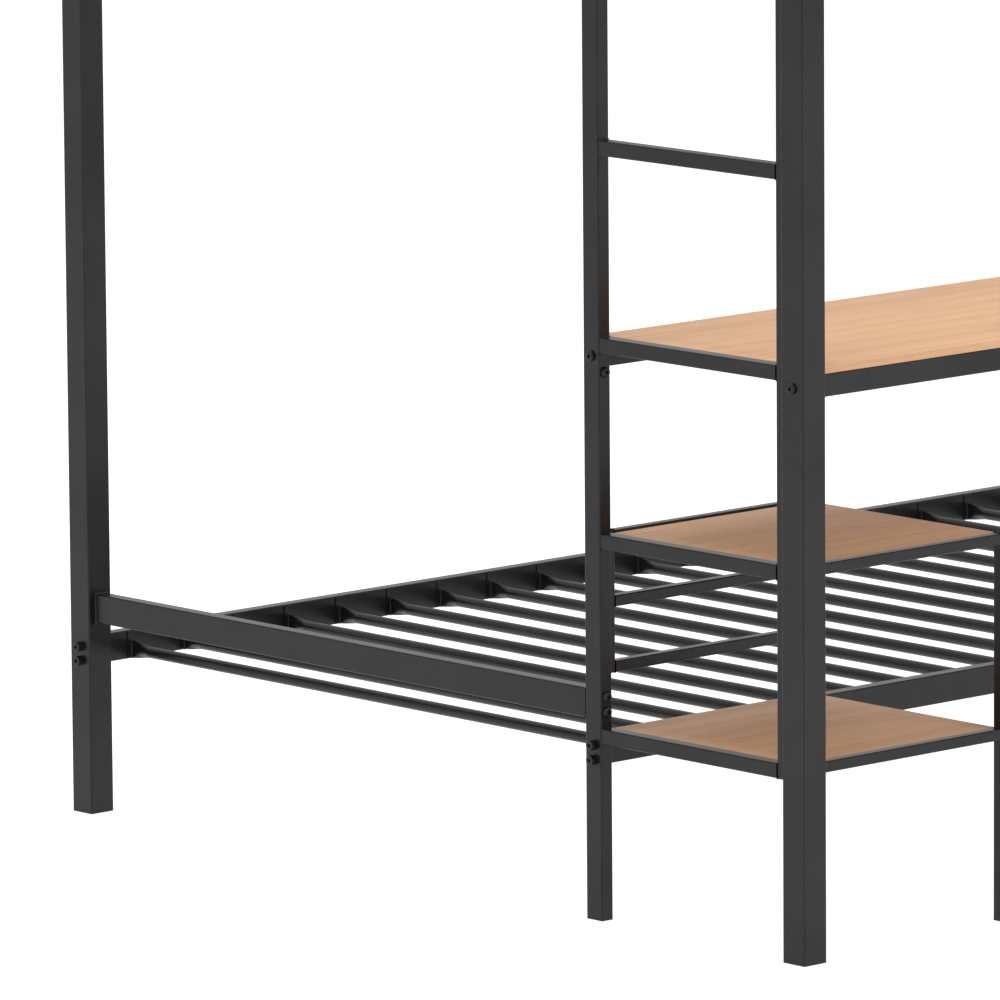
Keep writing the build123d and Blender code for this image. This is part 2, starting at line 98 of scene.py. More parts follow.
class Signal:
    """A number in a shader that Python expressions can use."""

    def __init__(self, sheet: ShaderSheet, socket: bpy.types.NodeSocket) -> None:
        """Wraps one output socket of a sheet."""
        self.sheet = sheet
        self.socket = socket

    def _math(self, operation: str, other: Number) -> Signal:
        """Adds one Math node.

        Args:
            operation: the Math node's operation.
            other: the second value.

        Returns:
            The node's result.
        """
        return self.sheet.signal("ShaderNodeMath", {"operation": operation}, {0: self, 1: other})

    def __add__(self, other: Number) -> Signal:
        """Sum."""
        return self._math("ADD", other)

    def __sub__(self, other: Number) -> Signal:
        """Difference."""
        return self._math("SUBTRACT", other)

    def __mul__(self, other: Number) -> Signal:
        """Product."""
        return self._math("MULTIPLY", other)

    __radd__ = __add__
    __rmul__ = __mul__


class ShaderSheet:
    """The node tree of one material."""

    def __init__(self, name: str) -> None:
        """Makes an empty material with a Principled shader."""
        self.material = bpy.data.materials.new(name)
        self.material.use_nodes = True
        self.tree = self.material.node_tree
        self.tree.nodes.clear()
        output = self.tree.nodes.new("ShaderNodeOutputMaterial")
        self.shader = self.tree.nodes.new("ShaderNodeBsdfPrincipled")
        self.tree.links.new(self.shader.outputs["BSDF"], output.inputs["Surface"])

    def node(self, kind: str, settings: dict | None = None, inputs: dict | None = None) -> bpy.types.Node:
        """Adds a node.

        Args:
            kind: the node's type.
            settings: its properties, set first.
            inputs: values or links of its sockets, by name or number.

        Returns:
            The new node.
        """
        node = self.tree.nodes.new(kind)
        for key, value in (settings or {}).items():
            setattr(node, key, value)
        self.feed(node, inputs or {})
        return node

    def feed(self, node: bpy.types.Node, inputs: dict) -> None:
        """Sets or links the sockets of a node."""
        for key, value in inputs.items():
            socket = node.inputs[key]
            if isinstance(value, Signal):
                self.tree.links.new(value.socket, socket)
            elif isinstance(value, bpy.types.NodeSocket):
                self.tree.links.new(value, socket)
            elif isinstance(value, tuple) and len(value) == 3 and socket.type == "RGBA":
                socket.default_value = (*value, 1.0)
            else:
                socket.default_value = value

    def signal(self, kind: str, settings: dict | None = None, inputs: dict | None = None) -> Signal:
        """Adds a node and returns its first output as a number."""
        return Signal(self, self.node(kind, settings, inputs).outputs[0])

    def place(self, stretch: Colour = (1.0, 1.0, 1.0), shift: Colour = (0.0, 0.0, 0.0)) -> bpy.types.NodeSocket:
        """Object coordinates in metres, scaled and moved.

        Args:
            stretch: how much faster the pattern runs along each axis.
            shift: where the pattern is taken from.

        Returns:
            The vector socket.
        """
        here = self.node("ShaderNodeTexCoord").outputs["Object"]
        return self.node(
            "ShaderNodeMapping", None, {"Vector": here, "Scale": stretch, "Location": shift}
        ).outputs["Vector"]

    def noise(self, vector: bpy.types.NodeSocket, scale: float, detail: float = 2.0,
              roughness: float = 0.5, distortion: float = 0.0) -> Signal:
        """Noise from 0 to 1 about a middle of 0.5.

        Args:
            vector: where the noise is read.
            scale: waves per metre before the vector's own stretch.
            detail: octaves.
            roughness: strength of each further octave.
            distortion: how far the noise is warped.

        Returns:
            The noise value.
        """
        return self.signal("ShaderNodeTexNoise", None, {
            "Vector": vector, "Scale": scale, "Detail": detail,
            "Roughness": roughness, "Distortion": distortion,
        })

    def between(self, value: Signal, low: float, high: float) -> Signal:
        """A value's place from low to high, as 0 to 1 with soft ends."""
        return self.signal("ShaderNodeMapRange", {"interpolation_type": "SMOOTHSTEP"}, {
            "Value": value, "From Min": low, "From Max": high,
        })

    def mix(self, factor: Number, first: Union[Colour, bpy.types.NodeSocket],
            second: Union[Colour, bpy.types.NodeSocket]) -> bpy.types.NodeSocket:
        """Mixes two colours.

        Args:
            factor: 0 for the first colour and 1 for the second.
            first: a colour or a colour socket.
            second: a colour or a colour socket.

        Returns:
            The mixed colour.
        """
        node = self.node("ShaderNodeMix", {"data_type": "RGBA"})
        factor_in, first_in, second_in = 0, 6, 7
        self.feed(node, {factor_in: factor, first_in: first, second_in: second})
        return node.outputs[2]

    def bump(self, height: Signal, distance: float, strength: float = 1.0) -> None:
        """Raises the surface by a height, over a distance in metres."""
        node = self.node("ShaderNodeBump", None, {
            "Height": height, "Distance": distance, "Strength": strength,
        })
        self.feed(self.shader, {"Normal": node.outputs["Normal"]})


# ---- finishes ----------------------------------------------------------------------------------


@dataclass(frozen=True)
class PowderCoat:
    """Satin black powder coat on steel: a faint orange peel and a slow drift in sheen."""

    name: str = "satin_powder_coat"
    dark: Colour = (0.0040, 0.0040, 0.0042)
    light: Colour = (0.0080, 0.0080, 0.0083)
    roughness: float = 0.32
    specular: float = 0.31
    drift_scale: float = 9.0
    peel_scale: float = 850.0
    peel_height: float = 0.00004
    ripple_height: float = 0.0

    def make(self) -> bpy.types.Material:
        """Builds the material."""
        sheet = ShaderSheet(self.name)
        drift = sheet.noise(sheet.place(), self.drift_scale, detail=3.0)
        peel = sheet.noise(sheet.place(), self.peel_scale, detail=1.0)
        grit = sheet.noise(sheet.place(), self.peel_scale * 0.35, detail=2.0, roughness=0.6)
        tone = sheet.between(drift * 0.7 + grit * 0.3, 0.38, 0.62)
        sheet.feed(sheet.shader, {
            "Base Color": sheet.mix(tone, self.dark, self.light),
            "Roughness": (drift - 0.5) * 0.10 + (grit - 0.5) * 0.08 + self.roughness,
            "Specular IOR Level": self.specular,
        })
        height = peel * 0.6 + grit * 0.4
        if self.ripple_height:
            ripple = sheet.noise(sheet.place(), 420.0, detail=1.0, distortion=0.6)
            height = height * self.peel_height + ripple * self.ripple_height
            sheet.bump(height, 1.0)
        else:
            sheet.bump(height, self.peel_height)
        return sheet.material


@dataclass(frozen=True)
class WoodLaminate:
    """Light beech laminate: fibres along the bed, soft bands of growth and short dark pores."""

    name: str
    shift: Colour
    pale: Colour = (0.512, 0.306, 0.172)
    mid: Colour = (0.461, 0.263, 0.144)
    deep: Colour = (0.340, 0.184, 0.095)
    roughness: float = 0.55
    specular: float = 0.22

    def make(self) -> bpy.types.Material:
        """Builds the material."""
        sheet = ShaderSheet(self.name)
        along = sheet.place((1.1, 14.0, 14.0), self.shift)
        band = sheet.noise(along, 1.0, detail=3.0, roughness=0.55, distortion=0.9)
        fibre = sheet.noise(sheet.place((7.0, 190.0, 190.0), self.shift), 1.0, detail=4.0, roughness=0.65)
        fine = sheet.noise(sheet.place((30.0, 900.0, 900.0), self.shift), 1.0, detail=2.0)
        pore = sheet.noise(sheet.place((22.0, 620.0, 620.0), self.shift), 1.0, detail=1.0)
        rings = sheet.signal("ShaderNodeTexWave", {
            "wave_type": "BANDS", "bands_direction": "Y", "wave_profile": "SAW",
        }, {
            "Vector": sheet.place((0.35, 6.5, 6.5), self.shift), "Scale": 1.0,
            "Distortion": 7.0, "Detail": 3.0, "Detail Scale": 0.7, "Detail Roughness": 0.55,
        })
        grain = fibre * 0.45 + band * 0.35 + rings * 0.12 + fine * 0.08
        colour = sheet.mix(sheet.between(grain, 0.36, 0.62), self.pale, self.mid)
        streak = sheet.between(fibre * 0.7 + band * 0.3, 0.54, 0.72)
        colour = sheet.mix(streak * 0.55, colour, self.deep)
        dash = sheet.between(pore, 0.66, 0.74)
        colour = sheet.mix(dash * 0.45, colour, self.deep)
        sheet.feed(sheet.shader, {
            "Base Color": colour,
            "Roughness": (fibre - 0.5) * 0.16 + dash * 0.1 + self.roughness,
            "Specular IOR Level": self.specular,
        })
        sheet.bump(fibre * 0.6 + fine * 0.4 - dash * 0.5, 0.00006)
        return sheet.material


@dataclass(frozen=True)
class BlackOxide:
    """Black finish on machined bolts, as dark as the coat, with fine turning marks."""

    name: str = "black_oxide"
    dark: Colour = (0.0040, 0.0040, 0.0042)
    light: Colour = (0.0085, 0.0084, 0.0082)

    def make(self) -> bpy.types.Material:
        """Builds the material."""
        sheet = ShaderSheet(self.name)
        stain = sheet.noise(sheet.place(), 260.0, detail=3.0)
        turned = sheet.noise(sheet.place((1.0, 6.0, 6.0)), 900.0, detail=1.0)
        sheet.feed(sheet.shader, {
            "Base Color": sheet.mix(sheet.between(stain, 0.35, 0.65), self.dark, self.light),
            "Specular IOR Level": 0.35,
            "Roughness": (stain - 0.5) * 0.2 + 0.42,
        })
        sheet.bump(turned, 0.00003)
        return sheet.material


@dataclass(frozen=True)
class PlatedSteel:
    """Zinc plate or bare steel: a metal with cloudy crystals and drawn marks."""

    name: str
    dull: Colour
    bright: Colour
    roughness: float

    def make(self) -> bpy.types.Material:
        """Builds the material."""
        sheet = ShaderSheet(self.name)
        cloud = sheet.noise(sheet.place(), 180.0, detail=4.0)
        drawn = sheet.noise(sheet.place((0.2, 1.0, 1.0)), 1500.0, detail=1.0)
        sheet.feed(sheet.shader, {
            "Base Color": sheet.mix(sheet.between(cloud, 0.3, 0.7), self.dull, self.bright),
            "Metallic": 1.0,
            "Roughness": (cloud - 0.5) * 0.25 + self.roughness,
        })
        sheet.bump(drawn, 0.00002)
        return sheet.material


@dataclass(frozen=True)
class MouldedPlastic:
    """Matt black moulded plastic with a spark-eroded grain."""

    name: str = "moulded_black_plastic"
    dark: Colour = (0.010, 0.010, 0.010)
    light: Colour = (0.020, 0.020, 0.021)

    def make(self) -> bpy.types.Material:
        """Builds the material."""
        sheet = ShaderSheet(self.name)
        flow = sheet.noise(sheet.place(), 60.0, detail=2.0)
        grain = sheet.noise(sheet.place(), 1800.0, detail=2.0, roughness=0.7)
        sheet.feed(sheet.shader, {
            "Base Color": sheet.mix(sheet.between(flow, 0.35, 0.65), self.dark, self.light),
            "Roughness": (grain - 0.5) * 0.2 + 0.62,
            "Specular IOR Level": 0.4,
        })
        sheet.bump(grain, 0.00005)
        return sheet.material


@dataclass
class Finishes:
    """Every finish of the bed, made once."""

    coat: bpy.types.Material = field(default_factory=lambda: PowderCoat().make())
    weld: bpy.types.Material = field(default_factory=lambda: PowderCoat(
        name="powder_coat_on_weld", ripple_height=0.0001).make())
    desk_wood: bpy.types.Material = field(default_factory=lambda: WoodLaminate(
        "desk_laminate", (3.1, 1.7, 0.4)).make())
    upper_shelf_wood: bpy.types.Material = field(default_factory=lambda: WoodLaminate(
        "upper_shelf_laminate", (11.3, 6.2, 2.9)).make())
    lower_shelf_wood: bpy.types.Material = field(default_factory=lambda: WoodLaminate(
        "lower_shelf_laminate", (23.9, 14.6, 7.3)).make())
    oxide: bpy.types.Material = field(default_factory=lambda: BlackOxide().make())
    zinc: bpy.types.Material = field(default_factory=lambda: PlatedSteel(
        "zinc_plate", (0.42, 0.42, 0.43), (0.62, 0.61, 0.60), 0.38).make())
    steel: bpy.types.Material = field(default_factory=lambda: PlatedSteel(
        "bare_steel", (0.36, 0.35, 0.34), (0.52, 0.51, 0.50), 0.45).make())
    plastic: bpy.types.Material = field(default_factory=lambda: MouldedPlastic().make())


# ---- modelling by hand -------------------------------------------------------------------------


def deselect_all() -> None:
    """Leaves edit mode and deselects every object."""
    if bpy.context.object and bpy.context.object.mode != "OBJECT":
        bpy.ops.object.mode_set(mode="OBJECT")
    bpy.ops.object.select_all(action="DESELECT")


def select_only(*objects: bpy.types.Object) -> None:
    """Selects these objects and makes the first one active."""
    deselect_all()
    for piece in objects:
        piece.select_set(True)
    bpy.context.view_layer.objects.active = objects[0]


def add_block(low: Vector, high: Vector) -> bpy.types.Object:
    """Adds a cube primitive between two corners, active and in object mode."""
    deselect_all()
    bpy.ops.mesh.primitive_cube_add(size=1.0, location=(low + high) / 2, scale=high - low)
    bpy.ops.object.transform_apply(location=True, rotation=True, scale=True)
    return bpy.context.object


def pick(piece: bpy.types.Object, faces: Callable | None = None, edges: Callable | None = None) -> None:
    """Enters edit mode and selects the faces or the edges that a test accepts.

    Args:
        piece: the active object.
        faces: test on a face, or None.
        edges: test on an edge, or None.
    """
    if piece.mode != "EDIT":
        bpy.ops.object.mode_set(mode="EDIT")
    bpy.ops.mesh.select_all(action="DESELECT")
    bpy.ops.mesh.select_mode(type="FACE" if faces else "EDGE")
    mesh = bmesh.from_edit_mesh(piece.data)
    for item in (mesh.faces if faces else mesh.edges):
        if (faces or edges)(item):
            item.select_set(True)
    mesh.select_flush_mode()
    bmesh.update_edit_mesh(piece.data)


def is_upright(edge: bmesh.types.BMEdge) -> bool:
    """Whether an edge runs along Z."""
    run = edge.verts[1].co - edge.verts[0].co
    return abs(run.z) > 0.99 * run.length


def at_height(z: float) -> Callable:
    """Test for a flat face or edge at a height."""
    return lambda item: all(abs(v.co.z - z) < 1e-6 for v in item.verts)


def shrink(about: Vector, factors: Colour) -> None:
    """Scales the selection about a point, along each axis."""
    bpy.ops.transform.resize(value=factors, center_override=about)


def raise_face(step: Colour) -> None:
    """Extrudes the selected face by a step."""
    bpy.ops.mesh.extrude_region_move(TRANSFORM_OT_translate={"value": step})


def close_up(piece: bpy.types.Object) -> None:
    """Turns the faces outwards and leaves edit mode."""
    bpy.ops.mesh.select_all(action="SELECT")
    bpy.ops.mesh.normals_make_consistent(inside=False)
    bpy.ops.object.mode_set(mode="OBJECT")
    piece.data.update()


def copy_to(model: bpy.types.Object, place: Matrix) -> bpy.types.Object:
    """Copies an object with its own mesh to a place."""
    twin = model.copy()
    twin.data = model.data.copy()
    bpy.context.scene.collection.objects.link(twin)
    twin.matrix_world = place
    return twin


def join(parts: Sequence[bpy.types.Object]) -> bpy.types.Object:
    """Joins objects into one at the origin, with its place in its mesh."""
    select_only(*parts)
    if len(parts) > 1:
        bpy.ops.object.join()
    whole = bpy.context.object
    bpy.ops.object.transform_apply(location=True, rotation=True, scale=True)
    return whole


def solids_of(node: str) -> list[Box]:
    """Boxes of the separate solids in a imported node, in metres.

    Args:
        node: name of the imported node.

    Returns:
        The lowest and highest corner of each solid.
    """
    mesh = bpy.data.objects[node].data
    owner: dict[tuple, tuple] = {}

    def leader(key: tuple) -> tuple:
        """The vertex that stands for a solid."""
        while owner[key] != key:
            owner[key] = owner[owner[key]]
            key = owner[key]
        return key

    keys = [tuple(round(c, 6) for c in v.co) for v in mesh.vertices]
    for key in keys:
        owner.setdefault(key, key)
    for face in mesh.polygons:
        first = leader(keys[face.vertices[0]])
        for index in face.vertices[1:]:
            owner[leader(keys[index])] = first
    found: dict[tuple, list[Vector]] = {}
    for key in owner:
        found.setdefault(leader(key), []).append(Vector(key))
    return [
        (Vector(min(p[i] for p in points) for i in range(3)),
         Vector(max(p[i] for p in points) for i in range(3)))
        for points in found.values()
    ]


def section_matrix(point: Vector, axis: Axis, sign: int) -> Matrix:
    """Place of a shape made on z = 0 that stands along a tube.

    Args:
        point: middle of the tube's end.
        axis: the tube's direction.
        sign: 1 if the tube runs to higher values from the point, or -1.

    Returns:
        The matrix.
    """
    up = Vector((0, 0, 0))
    up[axis.value] = sign
    across = Vector((0, 1, 0)) if axis is Axis.X else Vector((1, 0, 0))
    side = up.cross(across)
    turn = Matrix((across, side, up)).transposed().to_4x4()
    turn.translation = point
    return turn


@dataclass
class WeldBead:
    """Fillet weld round a rectangular tube's end: a closed collar with a rounded slope."""

    leg: float = 1.2 * MM
    corner: float = 1.5 * MM
    swell: float = 0.62
    models: dict = field(default_factory=dict)

    def model(self, wide: float, tall: float) -> bpy.types.Object:
        """The bead for one tube section, modelled once on z = 0.

        Args:
            wide: the section's size along local X.
            tall: the section's size along local Y.

        Returns:
            The hidden model object.
        """
        key = (round(wide, 5), round(tall, 5))
        if key in self.models:
            return self.models[key]
        foot = Vector((wide / 2 + self.leg, tall / 2 + self.leg, 0.0))
        rise = self.leg / 2
        piece = add_block(Vector((-foot.x, -foot.y, 0.0)), Vector((foot.x, foot.y, rise)))
        pick(piece, edges=is_upright)
        bpy.ops.mesh.bevel(offset=self.leg + self.corner, segments=2)
        pick(piece, faces=at_height(rise))
        shoulder = [size / 2 + self.leg * self.swell for size in (wide, tall)]
        shrink(Vector(), (shoulder[0] / foot.x, shoulder[1] / foot.y, 1.0))
        raise_face((0.0, 0.0, rise))
        shrink(Vector(), (wide / 2 / shoulder[0], tall / 2 / shoulder[1], 1.0))
        close_up(piece)
        self.models[key] = piece
        return piece

    def run(self, boxes: Iterable[Box], axis: Axis, end: End) -> list[bpy.types.Object]:
        """Beads at the ends of tubes.

        Args:
            boxes: the tubes.
            axis: their direction.
            end: the ends that are welded.

        Returns:
            The bead objects.
        """
        beads = []
        others = [i for i in range(3) if i != axis.value]
        for low, high in boxes:
            wide, tall = (high[i] - low[i] for i in others)
            for sign in end.value:
                point = (low + high) / 2
                point[axis.value] = (low if sign > 0 else high)[axis.value]
                beads.append(copy_to(self.model(wide, tall), section_matrix(point, axis, sign)))
        return beads

    def clear(self) -> None:
        """Removes the models."""
        for piece in self.models.values():
            bpy.data.objects.remove(piece)
        self.models.clear()


# ---- sub-assemblies ----------------------------------------------------------------------------


@dataclass
class SubAssembly:
    """A part of the bed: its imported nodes, their finish, and the pieces made for it here."""

    finishes: Finishes
    made: list[bpy.types.Object] = field(default_factory=list)

    def coat(self, nodes: Iterable[str], finish: bpy.types.Material) -> None:
        """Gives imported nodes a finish."""
        for name in nodes:
            mesh = bpy.data.objects[name].data
            mesh.materials.clear()
            mesh.materials.append(finish)
            log.info("dressed %s in %s", name, finish.name)

    def keep(self, piece: bpy.types.Object, name: str, finish: bpy.types.Material, slot: Slot,
             stands_for: Sequence[str] = ()) -> bpy.types.Object:
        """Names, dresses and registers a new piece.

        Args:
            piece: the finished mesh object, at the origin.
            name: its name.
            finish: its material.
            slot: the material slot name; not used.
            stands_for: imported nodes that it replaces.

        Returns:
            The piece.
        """
        piece.name = piece.data.name = name
        piece.data.materials.clear()
        piece.data.materials.append(finish)
        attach(piece, ROOT)
        if stands_for:
            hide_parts(*stands_for)
        self.made.append(piece)
        log.info("made %s: %d faces", name, len(piece.data.polygons))
        return piece


@dataclass
class WeldedFrame(SubAssembly):
    """Tubes that are welded to each other, with a bead at each joint."""

    name: str = "frame"
    coated: tuple[str, ...] = ()
    joints: tuple[tuple[str, Axis, End], ...] = ()
    bead: WeldBead = field(default_factory=WeldBead)

    def build(self) -> None:
        """Coats the tubes and lays the beads."""
        self.coat(self.coated, self.finishes.coat)
        beads: list[bpy.types.Object] = []
        for node, axis, end in self.joints:
            beads += self.bead.run(self.tubes(node, axis), axis, end)
        if beads:
            welds = join(beads)
            bpy.ops.object.shade_smooth_by_angle(angle=WELD_SMOOTHING)
            self.keep(welds, f"{self.name}_welds", self.finishes.weld, Slot.FRAME)
        self.bead.clear()

    def tubes(self, node: str, axis: Axis) -> list[Box]:
        """The solids of a node that run along an axis."""
        return [
            (low, high) for low, high in solids_of(node)
            if max(range(3), key=lambda i: high[i] - low[i]) == axis.value
        ]


@dataclass
class LadderEnd(WeldedFrame):
    """Two posts, the ladder's upright and stile, its rungs and the bars of desk and shelves."""

    name: str = "ladder_end"
    coated: tuple[str, ...] = (
        "post_front_ladder_end", "post_rear_ladder_end", "ladder_upright", "ladder_stile",
        "ladder_rung_1", "ladder_rung_2", "ladder_entry_rail", "desk_end_bar",
        "upper_shelf_end_bar", "lower_shelf_end_bar",
    )
    joints: tuple[tuple[str, Axis, End], ...] = tuple(
        (bar, Axis.Y, End.BOTH) for bar in (
            "ladder_rung_1", "ladder_rung_2", "ladder_entry_rail", "desk_end_bar",
            "upper_shelf_end_bar", "lower_shelf_end_bar",
        )
    )


@dataclass
class FarEnd(WeldedFrame):
    """Two posts, the far upright and the bars between them."""

    name: str = "far_end"
    coated: tuple[str, ...] = (
        "post_front_far_end", "post_rear_far_end", "far_end_upright", "desk_far_bar", "far_end_floor_bar",
    )
    joints: tuple[tuple[str, Axis, End], ...] = (
        ("desk_far_bar", Axis.Y, End.BOTH), ("far_end_floor_bar", Axis.Y, End.BOTH),
    )


@dataclass
class Decks(WeldedFrame):
    """Side rails, end rails and slats of the two beds, and the centre beam of the upper one."""

    name: str = "deck"
    coated: tuple[str, ...] = (
        "lower_side_rail_front", "lower_side_rail_rear", "upper_side_rail_front",
        "upper_side_rail_rear", "lower_end_rail_ladder_end", "lower_end_rail_far_end",
        "upper_end_rail_ladder_end", "upper_end_rail_far_end", "end_rail_plates",
        "lower_slats", "upper_slats", "slat_tabs", "upper_centre_beam", "centre_beam_hangers",
    )
    joints: tuple[tuple[str, Axis, End], ...] = (
        ("lower_end_rail_ladder_end", Axis.Y, End.HIGH), ("lower_end_rail_far_end", Axis.Y, End.HIGH),
        ("upper_end_rail_ladder_end", Axis.Y, End.HIGH), ("upper_end_rail_far_end", Axis.Y, End.BOTH),
        ("upper_centre_beam", Axis.X, End.BOTH),
    )
    blade: tuple[float, float] = (3.0 * MM, 24.5 * MM)
    slat_grid: float = 5.0 * MM
    slat_bead: WeldBead = field(default_factory=lambda: WeldBead(leg=0.9 * MM, corner=0.2 * MM))

    def build(self) -> None:
        """Coats the decks and lays the beads of rails and slat blades."""
        super().build()
        beads: list[bpy.types.Object] = []
        wide, tall = self.blade
        for node in ("lower_slats", "upper_slats"):
            for low, high in self.slats(node):
                middle = (low + high) / 2
                half = Vector((wide / 2, 0.0, tall / 2))
                ends = Vector((0.0, (high.y - low.y) / 2, 0.0))
                blade = (middle - half - ends, middle + half + ends)
                beads += self.slat_bead.run([blade], Axis.Y, End.BOTH)
        welds = join(beads)
        bpy.ops.object.shade_smooth_by_angle(angle=WELD_SMOOTHING)
        self.keep(welds, "slat_welds", self.finishes.weld, Slot.FRAME)
        self.slat_bead.clear()

    def slats(self, node: str) -> list[Box]:
        """One box for each slat of a node, round its tube and its pressed ends.

        Args:
            node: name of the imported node.

        Returns:
            The lowest and highest corner of each slat.
        """
        found: dict[int, Box] = {}
        for low, high in solids_of(node):
            place = round((low.x + high.x) / 2 / self.slat_grid)
            first_low, first_high = found.get(place, (low, high))
            found[place] = (Vector(map(min, first_low, low)), Vector(map(max, first_high, high)))
        return list(found.values())


@dataclass
class GuardRails(WeldedFrame):
    """Guard rails of the upper bed: bolted top rails over welded posts and middle rails."""

    name: str = "guard"
    coated: tuple[str, ...] = tuple(
        f"guard_{part}_{side}" for part in ("top_rail", "infill")
        for side in ("front", "rear", "ladder_end", "far_end")
    )
    joints: tuple[tuple[str, Axis, End], ...] = tuple(
        (f"guard_infill_{side}", axis, End.BOTH)
        for side, along in (
            ("front", Axis.X), ("rear", Axis.X), ("ladder_end", Axis.Y), ("far_end", Axis.Y),
        )
        for axis in (along, Axis.Z)
    )


@dataclass
class Desk(WeldedFrame):
    """Desk rails and cross bars under one long board with eased edges."""

    name: str = "desk"
    coated: tuple[str, ...] = ("desk_front_rail", "desk_back_rail", "desk_cross_bars")
    joints: tuple[tuple[str, Axis, End], ...] = (("desk_cross_bars", Axis.Y, End.BOTH),)

    def build(self) -> None:
        """Builds the frame and the board."""
        super().build()
        board = eased_board("desk_board")
        self.keep(board, "desk_top", self.finishes.desk_wood, Slot.DESK_BOARD, ("desk_board",))


@dataclass
class CornerShelves(WeldedFrame):
    """Two shelves under the ladder, their leg, and the small panel that ties them to the bed."""

    name: str = "shelf"
    coated: tuple[str, ...] = (
        "lower_shelf_front_rail", "upper_shelf_front_rail", "shelf_leg", "shelf_side_strips",
        "shelf_ledges", "shelf_panel_bars", "shelf_panel_near_upright", "shelf_panel_far_upright",
    )
    joints: tuple[tuple[str, Axis, End], ...] = (
        ("lower_shelf_front_rail", Axis.X, End.BOTH), ("upper_shelf_front_rail", Axis.X, End.BOTH),
        ("shelf_panel_bars", Axis.X, End.BOTH),
    )

    def build(self) -> None:
        """Builds the frame and the two boards."""
        super().build()
        for level, wood in (
            ("upper", self.finishes.upper_shelf_wood), ("lower", self.finishes.lower_shelf_wood)
        ):
            node = f"{level}_shelf_board"
            self.keep(eased_board(node), f"{level}_shelf_top", wood, Slot.SHELF_BOARD, (node,))


def eased_board(node: str, ease: float = 0.8 * MM) -> bpy.types.Object:
    """Copy of a packed board with its sharp edges eased.

    Args:
        node: the board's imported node.
        ease: width of the rounding.

    Returns:
        The new board.
    """
    board = copy_to(bpy.data.objects[node], Matrix.Identity(4))
    for key in [key for key in board.keys() if key.startswith("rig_")]:
        del board[key]
    board.parent = None
    board.matrix_world = Matrix.Identity(4)
    select_only(board)
    bpy.ops.object.mode_set(mode="EDIT")
    bpy.ops.mesh.select_all(action="SELECT")
    bpy.ops.mesh.remove_doubles(threshold=0.00001)
    bpy.ops.mesh.customdata_custom_splitnormals_clear()
    bpy.ops.mesh.dissolve_limited(angle_limit=math.radians(1))
    bpy.ops.object.mode_set(mode="OBJECT")
    rounding = board.modifiers.new("eased_edges", "BEVEL")
    rounding.width = ease
    rounding.segments = 2
    rounding.limit_method = "ANGLE"
    rounding.angle_limit = math.radians(60)
    bpy.ops.object.modifier_apply(modifier=rounding.name)
    bpy.ops.object.shade_smooth_by_angle(angle=EDGE_SMOOTHING)
    return board


@dataclass
class Fasteners(SubAssembly):
    """Bolts, screws and the threaded plugs in the rails."""

    def build(self) -> None:
        """Dresses the metal small parts."""
        self.coat(("side_rail_bolts", "button_bolts"), self.finishes.oxide)
        self.coat(("board_screws",), self.finishes.zinc)
        self.coat(("side_rail_plugs", "end_rail_plugs", "desk_and_guard_plugs"), self.finishes.steel)


@dataclass
class TubeCaps(SubAssembly):
    """Plastic caps on the tubes' tops and plugs in their feet."""

    plate: float = 2.0 * MM
    corner: float = 2.0 * MM
    crown: float = 0.9 * MM
    tube_wall: float = 1.7 * MM
    rim: float = 2.2 * MM
    dish: float = 3.0 * MM

    def build(self) -> None:
        """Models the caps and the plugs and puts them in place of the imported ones."""
        caps = join([self.cap(low, high) for low, high in solids_of("top_caps")])
        bpy.ops.object.shade_smooth_by_angle(angle=EDGE_SMOOTHING)
        self.keep(caps, "tube_caps", self.finishes.plastic, Slot.CAP, ("top_caps",))
        plugs = join([self.plug(low, high) for low, high in solids_of("foot_plugs")])
        bpy.ops.object.shade_smooth_by_angle(angle=EDGE_SMOOTHING)
        self.keep(plugs, "foot_inserts", self.finishes.plastic, Slot.CAP, ("foot_plugs",))

    def cap(self, low: Vector, high: Vector) -> bpy.types.Object:
        """A crowned cap with a spigot that grips the tube.

        Args:
            low: lowest corner of the cap with its spigot.
            high: highest corner.

        Returns:
            The cap object.
        """
        seat = high.z - self.plate
        piece = add_block(Vector((low.x, low.y, seat)), high)
        middle = (low + high) / 2
        pick(piece, edges=is_upright)
        bpy.ops.mesh.bevel(offset=self.corner, segments=3)
        pick(piece, edges=at_height(high.z))
        bpy.ops.mesh.bevel(offset=self.crown, segments=3)
        pick(piece, faces=at_height(seat))
        size = high - low
        shrink_to = [(s - 2 * self.tube_wall) / s for s in (size.x, size.y)]
        raise_face((0.0, 0.0, 0.0))
        shrink(Vector((middle.x, middle.y, seat)), (*shrink_to, 1.0))
        raise_face((0.0, 0.0, low.z - seat))
        close_up(piece)
        return piece

    def plug(self, low: Vector, high: Vector) -> bpy.types.Object:
        """A foot plug with a dished underside and a rounded rim.

        Args:
            low: lowest corner of the plug.
            high: highest corner.

        Returns:
            The plug object.
        """
        piece = add_block(low, high)
        middle = (low + high) / 2
        size = high - low
        pick(piece, edges=is_upright)
        bpy.ops.mesh.bevel(offset=self.corner / 2, segments=2)
        pick(piece, edges=at_height(low.z))
        bpy.ops.mesh.bevel(offset=self.crown / 2, segments=2)
        pick(piece, faces=at_height(low.z))
        raise_face((0.0, 0.0, 0.0))
        shrink(Vector((middle.x, middle.y, low.z)),
               ((size.x - 2 * self.rim) / size.x, (size.y - 2 * self.rim) / size.y, 1.0))
        raise_face((0.0, 0.0, self.dish))
        close_up(piece)
        return piece


# ---- studio ------------------------------------------------------------------------------------


